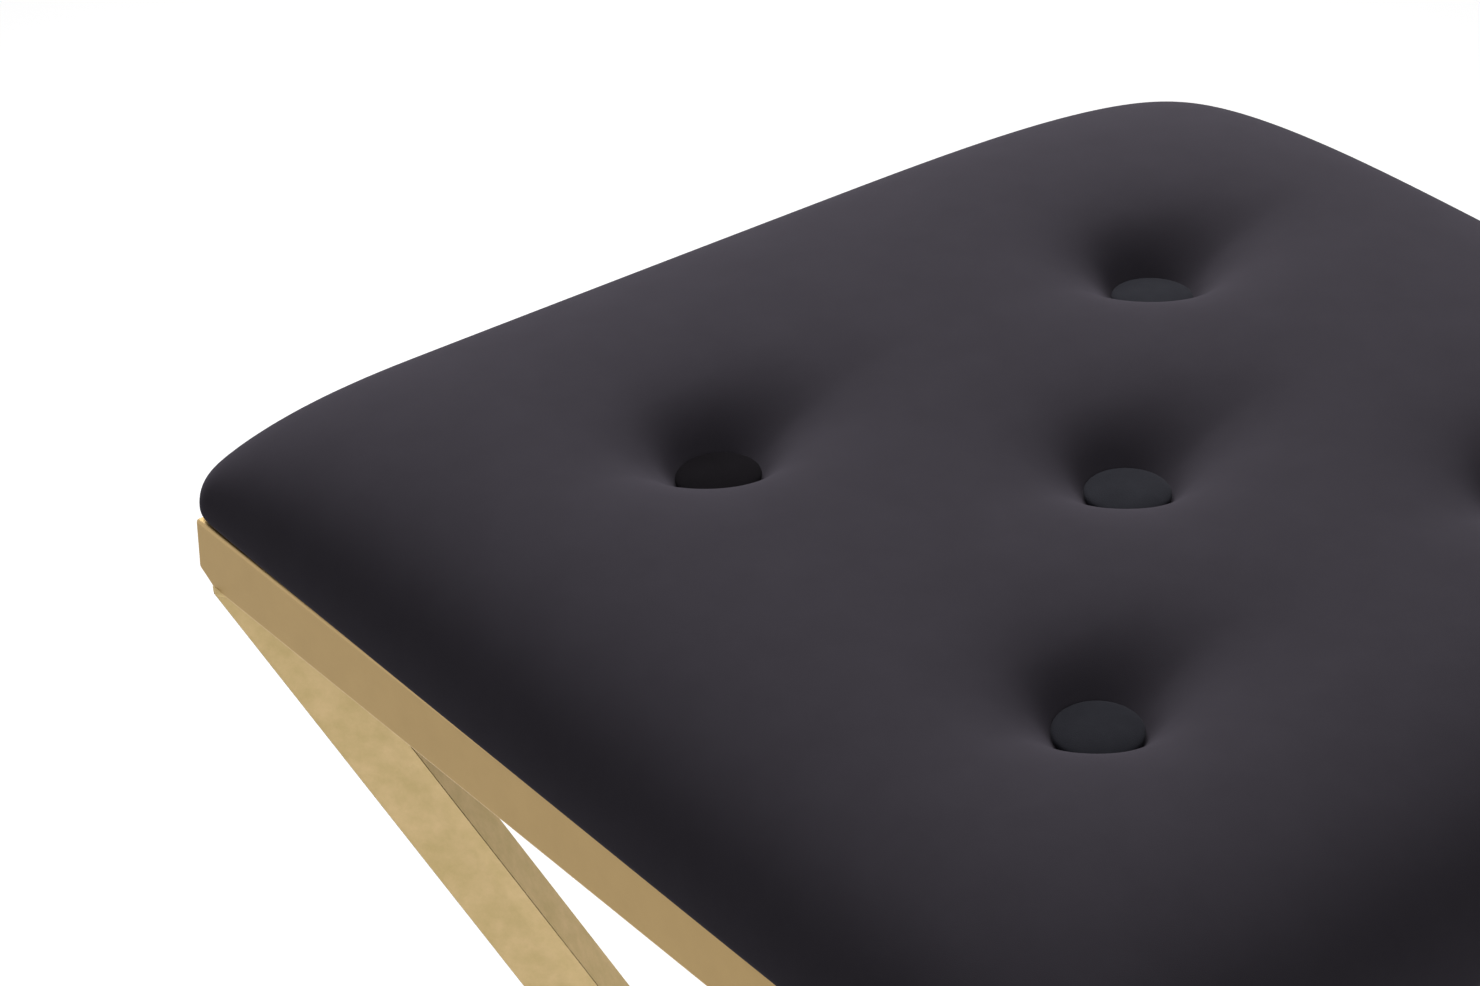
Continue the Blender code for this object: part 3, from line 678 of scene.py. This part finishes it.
BUTTON_VELVET = grained_material(
    "button_velvet", dark=(0.0312, 0.0316, 0.0395), light=(0.0386, 0.0392, 0.0486),
    roughness=(0.85, 1.0), cloud_scale=120.0, grain_scale=3000.0, bump=0.5,
    Sheen_Weight=0.05, Sheen_Roughness=0.4, Sheen_Tint=(0.85, 0.85, 0.95, 1.0), Specular_IOR_Level=0.05)
# A much darker velvet for the front left button.
DARKER_BUTTON_VELVET = grained_material(
    "darker_button_velvet", dark=(0.0062, 0.0050, 0.0068), light=(0.0084, 0.0068, 0.0092),
    roughness=(0.85, 1.0), cloud_scale=120.0, grain_scale=3000.0, bump=0.5,
    Sheen_Weight=0.01, Sheen_Roughness=0.4, Specular_IOR_Level=0.05)

for name, tuft in TUFT_PLACES.items():
    bm = bmesh.new()
    bmesh.ops.create_uvsphere(bm, u_segments=BUTTON_SIDES, v_segments=BUTTON_RINGS, radius=1.0)
    for vert in bm.verts:
        rise = BUTTON_DOME if vert.co.z > 0 else BUTTON_RIM
        height = math.copysign(abs(vert.co.z) ** BUTTON_FLATNESS, vert.co.z)
        vert.co = (vert.co.x * BUTTON_RADIUS, vert.co.y * BUTTON_RADIUS, height * rise)
    upright = Vector((TUFT_LEAN * tuft.x / BUTTON_PITCH, TUFT_LEAN * tuft.y / BUTTON_PITCH, 1.0))
    lean = Vector((0.0, 0.0, 1.0)).rotation_difference(upright).to_matrix()
    bmesh.ops.rotate(bm, matrix=lean, verts=bm.verts)
    bmesh.ops.translate(
        bm, vec=tuft + Vector((0.0, 0.0, FRAME_TOP + BUTTON_RIM)), verts=bm.verts)
    button_cover = DARKER_BUTTON_VELVET if name == "front_left" else BUTTON_VELVET
    button = add_piece("covered_button_" + name, bm, button_cover)
    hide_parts("button_" + name)


# Dust cover: black cambric across the underside of the board, cut to the frame's opening and
# stapled to the board with a row of wire staples along each side.

DUST_SIDE_GAP = 0.0004
DUST_DROP = 0.0004
DUST_HALF = RAIL_INNER - DUST_SIDE_GAP
DUST_EDGE_Z = FRAME_TOP - DUST_DROP
DUST_THICKNESS = 0.0003
DUST_SAG = 0.0016
DUST_HEM = 0.030
DUST_STEPS = 68
STAPLES = 7
STAPLE_ROW = 0.240
STAPLE_INSET = 0.008
STAPLE_LENGTH = 0.010
STAPLE_WIDTH = 0.0012
STAPLE_HEIGHT = 0.0005
STAPLE_ROUND = 0.00015
STAPLE_ROUND_STEPS = 2

CAMBRIC = grained_material(
    "black_cambric", dark=(0.010, 0.010, 0.011), light=(0.018, 0.018, 0.019), roughness=(0.85, 0.98),
    cloud_scale=200.0, grain_scale=1600.0, bump=0.6)


def dust_level(inside):
    """Height of the cloth at a distance in from its edge: it sags away from the board."""
    return DUST_EDGE_Z - DUST_SAG * (1.0 - math.exp(-((inside / DUST_HEM) ** 2)))


bm = bmesh.new()
bmesh.ops.create_grid(bm, x_segments=DUST_STEPS, y_segments=DUST_STEPS, size=DUST_HALF)
for vert in bm.verts:
    vert.co.z = dust_level(min(DUST_HALF - abs(vert.co.x), DUST_HALF - abs(vert.co.y)))
dust_cover = add_piece("cambric_dust_cover", bm, CAMBRIC)
thick = dust_cover.modifiers.new("cloth_thickness", "SOLIDIFY")
thick.thickness = DUST_THICKNESS
thick.offset = -1.0
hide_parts("dust_cover")

bm = bmesh.new()
staple_z = dust_level(STAPLE_INSET) - DUST_THICKNESS - STAPLE_HEIGHT / 2
for turn in SIDES.values():
    for place in range(STAPLES):
        along = STAPLE_ROW * (place / (STAPLES - 1) - 0.5)
        staple = bmesh.ops.create_cube(bm, size=1.0)["verts"]
        bmesh.ops.scale(bm, vec=(STAPLE_LENGTH, STAPLE_WIDTH, STAPLE_HEIGHT), verts=staple)
        bmesh.ops.translate(bm, vec=(along, STAPLE_INSET - DUST_HALF, staple_z), verts=staple)
        bmesh.ops.rotate(bm, matrix=Matrix.Rotation(math.radians(turn), 3, "Z"), verts=staple)
bmesh.ops.bevel(
    bm, geom=bm.edges[:], offset=STAPLE_ROUND, affect="EDGES", segments=STAPLE_ROUND_STEPS,
    profile=0.5, material=-1)
even_faces(add_piece("dust_cover_staples", bm, ZINC))


# Seat screws: zinc-plated pan heads up through the corner plates into the tee nuts, one at each
# corner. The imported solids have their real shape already, so they only take the finish.

for corner in CORNERS:
    dress(ZINC, "seat_screw_" + corner)


# Studio: a wide pale floor, a white world, a large soft lamp above the back left corner, a weaker
# one towards the front right, and a camera at the front right. Floor and world look brighter to
# the camera and in reflections than the light that they give.

FLOOR_REACH = 12.0
FLOOR_TONE = 0.86
FLOOR_GLOW = 0.50
FLOOR_MIRRORED_GLOW = 0.7
WORLD_LIGHT = 0.09
WORLD_MIRRORED_LIGHT = 0.82
LAMP_SIZE = 1.6
SENSOR_WIDTH = 36.0
LENS = 114.28
CAMERA_PLACE = (0.805434, -0.738260, 1.456584)
CAMERA_BACK = (0.679505, -0.511647, 0.525824)
CAMERA_ROLL = math.radians(-0.5248)

floor_material = bpy.data.materials.new("pale_floor")
floor_material.use_nodes = True
tree = floor_material.node_tree
shader = tree.nodes["Principled BSDF"]
shader.inputs["Base Color"].default_value = (FLOOR_TONE, FLOOR_TONE, FLOOR_TONE, 1.0)
shader.inputs["Roughness"].default_value = 1.0
shader.inputs["Specular IOR Level"].default_value = 0.0
shader.inputs["Emission Color"].default_value = (1.0, 1.0, 1.0, 1.0)
rays = add_node(tree, "LightPath")
glow = add_node(tree, "Math")
glow.operation = "MAXIMUM"
tree.links.new(value_range(tree, rays.outputs["Is Camera Ray"], 0.0, FLOOR_GLOW), glow.inputs[0])
tree.links.new(
    value_range(tree, rays.outputs["Is Glossy Ray"], 0.0, FLOOR_MIRRORED_GLOW), glow.inputs[1])
tree.links.new(glow.outputs[0], shader.inputs["Emission Strength"])

bm = bmesh.new()
bmesh.ops.create_grid(bm, x_segments=1, y_segments=1, size=FLOOR_REACH)
floor_mesh = bpy.data.meshes.new("floor")
bm.to_mesh(floor_mesh)
bm.free()
floor_mesh.materials.append(floor_material)
floor = bpy.data.objects.new("floor", floor_mesh)
bpy.context.scene.collection.objects.link(floor)

world = bpy.data.worlds.new("white_studio")
world.use_nodes = True
tree = world.node_tree
surroundings = tree.nodes["Background"]
rays = add_node(tree, "LightPath")
mirrored = value_range(tree, rays.outputs["Is Glossy Ray"], WORLD_LIGHT, WORLD_MIRRORED_LIGHT)
seen = add_node(tree, "Math")
seen.operation = "MAXIMUM"
tree.links.new(rays.outputs["Is Camera Ray"], seen.inputs[0])
tree.links.new(mirrored, seen.inputs[1])
tree.links.new(seen.outputs[0], surroundings.inputs["Strength"])
surroundings.inputs["Color"].default_value = (1.0, 1.0, 1.0, 1.0)
bpy.context.scene.world = world


def soft_lamp(name, place, aim, watts):
    """A large square lamp that shines from a place towards a point."""
    lamp = bpy.data.lights.new(name, "AREA")
    lamp.shape = "SQUARE"
    lamp.size = LAMP_SIZE
    lamp.energy = watts
    holder = bpy.data.objects.new(name, lamp)
    holder.location = place
    holder.rotation_euler = (Vector(aim) - Vector(place)).to_track_quat("-Z", "Y").to_euler()
    bpy.context.scene.collection.objects.link(holder)


soft_lamp("overhead_lamp", place=(-1.4, 0.8, 2.2), aim=(0.0, 0.0, 0.75), watts=42.8)
soft_lamp("front_lamp", place=(2.1, -1.1, 2.2), aim=(0.6, -0.8, 0.0), watts=10.0)

camera = bpy.data.cameras.new("photo_view")
camera.sensor_width = SENSOR_WIDTH
camera.lens = LENS
viewer = bpy.data.objects.new("photo_view", camera)
view_back = Vector(CAMERA_BACK).normalized()
view_right = Vector((0.0, 0.0, 1.0)).cross(view_back).normalized()
level = Matrix((view_right, view_back.cross(view_right), view_back)).transposed()
roll = Matrix.Rotation(CAMERA_ROLL, 3, "Z")
viewer.matrix_world = Matrix.Translation(CAMERA_PLACE) @ (level @ roll).to_4x4()
bpy.context.scene.collection.objects.link(viewer)
bpy.context.scene.camera = viewer

bpy.context.scene.view_settings.view_transform = "Standard"
